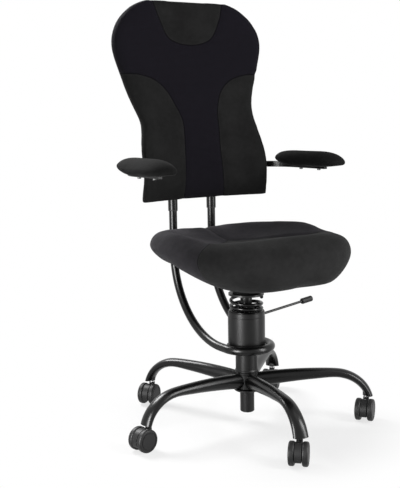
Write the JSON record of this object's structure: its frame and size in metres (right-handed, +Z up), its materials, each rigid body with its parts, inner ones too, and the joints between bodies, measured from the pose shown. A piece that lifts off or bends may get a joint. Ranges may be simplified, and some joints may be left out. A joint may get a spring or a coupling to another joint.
{
  "type": "balance chair",
  "caption": "Swivelling balance chair: padded seat on a coil spring over a gas column, tube-carried backrest with arm pads, legged base on twin-wheel casters.",
  "frame": {"origin": "on the floor, under the middle of the column", "axes": "+Z up, -Y the way the sitter faces, +X the sitter's left"},
  "size_m": [0.6367, 0.6369, 1.056],
  "materials": {
    "frame_paint": "satin black paint",
    "column_paint": "satin black paint",
    "spring_paint": "semi-gloss black paint",
    "sleeve_plastic": "satin black",
    "bare_steel": "bright drawn steel",
    "screw_steel": "black oxide",
    "lever_paint": "black paint",
    "grip_plastic": "satin black",
    "inner_plastic": "plain",
    "hood_plastic": "satin black",
    "wheel_plastic": "satin black",
    "shell_plastic": "grained black",
    "pad_base_plastic": "grained black",
    "seat_fabric": "black brushed upholstery",
    "back_fabric": "black upholstery, two weaves",
    "pad_fabric": "black brushed upholstery"
  },
  "bodies": {
    "base": {"base_hub": "frame_paint", "base_leg_1": "frame_paint", "base_leg_2": "frame_paint", "base_leg_3": "frame_paint", "base_leg_4": "frame_paint", "base_leg_5": "frame_paint", "column_tube": "column_paint", "column_sleeve": "sleeve_plastic", "guide_bush": "inner_plastic", "thrust_bearing": "bare_steel", "stem_sockets": "inner_plastic"},
    "caster_1": {"caster_1_hood": "hood_plastic", "caster_1_stem_and_axle": "bare_steel"},
    "caster_1_left_wheel": {"caster_1_wheel_left": "wheel_plastic"},
    "caster_1_right_wheel": {"caster_1_wheel_right": "wheel_plastic"},
    "caster_2": {"caster_2_hood": "hood_plastic", "caster_2_stem_and_axle": "bare_steel"},
    "caster_2_left_wheel": {"caster_2_wheel_left": "wheel_plastic"},
    "caster_2_right_wheel": {"caster_2_wheel_right": "wheel_plastic"},
    "caster_3": {"caster_3_hood": "hood_plastic", "caster_3_stem_and_axle": "bare_steel"},
    "caster_3_left_wheel": {"caster_3_wheel_left": "wheel_plastic"},
    "caster_3_right_wheel": {"caster_3_wheel_right": "wheel_plastic"},
    "caster_4": {"caster_4_hood": "hood_plastic", "caster_4_stem_and_axle": "bare_steel"},
    "caster_4_left_wheel": {"caster_4_wheel_left": "wheel_plastic"},
    "caster_4_right_wheel": {"caster_4_wheel_right": "wheel_plastic"},
    "caster_5": {"caster_5_hood": "hood_plastic", "caster_5_stem_and_axle": "bare_steel"},
    "caster_5_left_wheel": {"caster_5_wheel_left": "wheel_plastic"},
    "caster_5_right_wheel": {"caster_5_wheel_right": "wheel_plastic"},
    "rod": {"piston_rod": "bare_steel", "rod_clip": "bare_steel"},
    "carrier": {"gas_cylinder": "bare_steel", "spring_housing": "column_paint", "tube_cradle": "frame_paint", "back_tube": "frame_paint", "lower_yoke": "column_paint", "coil_spring": "spring_paint", "lever_pin": "bare_steel"},
    "lever": {"lever_rod": "lever_paint", "lever_grip": "grip_plastic"},
    "button": {"release_button": "bare_steel"},
    "cross": {"pivot_cross": "bare_steel"},
    "seat": {"upper_yoke": "column_paint", "seat_plate": "column_paint", "seat_shell": "shell_plastic", "seat_cushion": "seat_fabric", "seat_screws": "screw_steel"},
    "backrest": {"back_carrier": "frame_paint", "back_guides": "inner_plastic", "back_board": "shell_plastic", "back_cushion": "back_fabric", "back_screws": "screw_steel", "arm_bar_left": "frame_paint", "arm_bar_right": "frame_paint", "arm_pad_left": "pad_fabric", "arm_pad_right": "pad_fabric", "arm_pad_bases": "pad_base_plastic", "arm_screws": "screw_steel"}
  },
  "joints": [
    {"name": "caster_1_swivel", "type": "hinge", "parent": "base", "child": "caster_1", "pos_m": [0.22676, 0.19642, 0.06], "axis": [0, 0, 1], "continuous": true},
    {"name": "caster_1_left_roll", "type": "hinge", "parent": "caster_1", "child": "caster_1_left_wheel", "pos_m": [0.21338, 0.18438, 0.0275], "axis": [0.6691, -0.7431, 0], "continuous": true},
    {"name": "caster_1_right_roll", "type": "hinge", "parent": "caster_1", "child": "caster_1_right_wheel", "pos_m": [0.21338, 0.18438, 0.0275], "axis": [0.6691, -0.7431, 0], "continuous": true},
    {"name": "caster_2_swivel", "type": "hinge", "parent": "base", "child": "caster_2", "pos_m": [-0.11674, 0.27636, 0.06], "axis": [0, 0, 1], "continuous": true},
    {"name": "caster_2_left_roll", "type": "hinge", "parent": "caster_2", "child": "caster_2_left_wheel", "pos_m": [-0.132, 0.26682, 0.0275], "axis": [0.5299, -0.848, 0], "continuous": true},
    {"name": "caster_2_right_roll", "type": "hinge", "parent": "caster_2", "child": "caster_2_right_wheel", "pos_m": [-0.132, 0.26682, 0.0275], "axis": [0.5299, -0.848, 0], "continuous": true},
    {"name": "caster_3_swivel", "type": "hinge", "parent": "base", "child": "caster_3", "pos_m": [-0.2989, -0.02563, 0.06], "axis": [0, 0, 1], "continuous": true},
    {"name": "caster_3_left_roll", "type": "hinge", "parent": "caster_3", "child": "caster_3_left_wheel", "pos_m": [-0.31657, -0.02906, 0.0275], "axis": [0.1908, -0.9816, 0], "continuous": true},
    {"name": "caster_3_right_roll", "type": "hinge", "parent": "caster_3", "child": "caster_3_right_wheel", "pos_m": [-0.31657, -0.02906, 0.0275], "axis": [0.1908, -0.9816, 0], "continuous": true},
    {"name": "caster_4_swivel", "type": "hinge", "parent": "base", "child": "caster_4", "pos_m": [-0.068, -0.29219, 0.06], "axis": [0, 0, 1], "continuous": true},
    {"name": "caster_4_left_roll", "type": "hinge", "parent": "caster_4", "child": "caster_4_left_wheel", "pos_m": [-0.08072, -0.30492, 0.0275], "axis": [0.7071, -0.7071, 0], "continuous": true},
    {"name": "caster_4_right_roll", "type": "hinge", "parent": "caster_4", "child": "caster_4_right_wheel", "pos_m": [-0.08072, -0.30492, 0.0275], "axis": [0.7071, -0.7071, 0], "continuous": true},
    {"name": "caster_5_swivel", "type": "hinge", "parent": "base", "child": "caster_5", "pos_m": [0.25688, -0.15496, 0.06], "axis": [0, 0, 1], "continuous": true},
    {"name": "caster_5_left_roll", "type": "hinge", "parent": "caster_5", "child": "caster_5_left_wheel", "pos_m": [0.2425, -0.16579, 0.0275], "axis": [0.6018, -0.7986, 0], "continuous": true},
    {"name": "caster_5_right_roll", "type": "hinge", "parent": "caster_5", "child": "caster_5_right_wheel", "pos_m": [0.2425, -0.16579, 0.0275], "axis": [0.6018, -0.7986, 0], "continuous": true},
    {"name": "chair_swivel", "type": "hinge", "parent": "base", "child": "rod", "pos_m": [0, 0, 0.038], "axis": [0, 0, 1], "continuous": true},
    {"name": "seat_lift", "type": "slide", "parent": "rod", "child": "carrier", "axis": [0, 0, 1], "range_m": [0, 0.1]},
    {"name": "lever_lift", "type": "hinge", "parent": "carrier", "child": "lever", "pos_m": [0.022, 0, 0.265], "axis": [0, -1, 0], "range_deg": [0, 5], "stiffness_Nm_per_rad": 2, "springref_deg": -4.58},
    {"name": "button_press", "type": "slide", "parent": "carrier", "child": "button", "axis": [0, 0, 1], "range_m": [-0.0026, 0]},
    {"name": "seat_pitch", "type": "hinge", "parent": "carrier", "child": "cross", "pos_m": [0, 0, 0.2878], "axis": [1, 0, 0], "range_deg": [-6, 6], "stiffness_Nm_per_rad": 130, "deforming": ["coil_spring"]},
    {"name": "seat_roll", "type": "hinge", "parent": "cross", "child": "seat", "pos_m": [0, 0, 0.2878], "axis": [0, 1, 0], "range_deg": [-6, 6], "stiffness_Nm_per_rad": 130, "deforming": ["coil_spring"]},
    {"name": "backrest_height", "type": "slide", "parent": "carrier", "child": "backrest", "axis": [0, 0, 1], "range_m": [-0.02, 0.05]}
  ],
  "couplings": [
    {"joint": "button_press", "follows": "lever_lift", "m_per_rad": -0.0276}
  ]
}
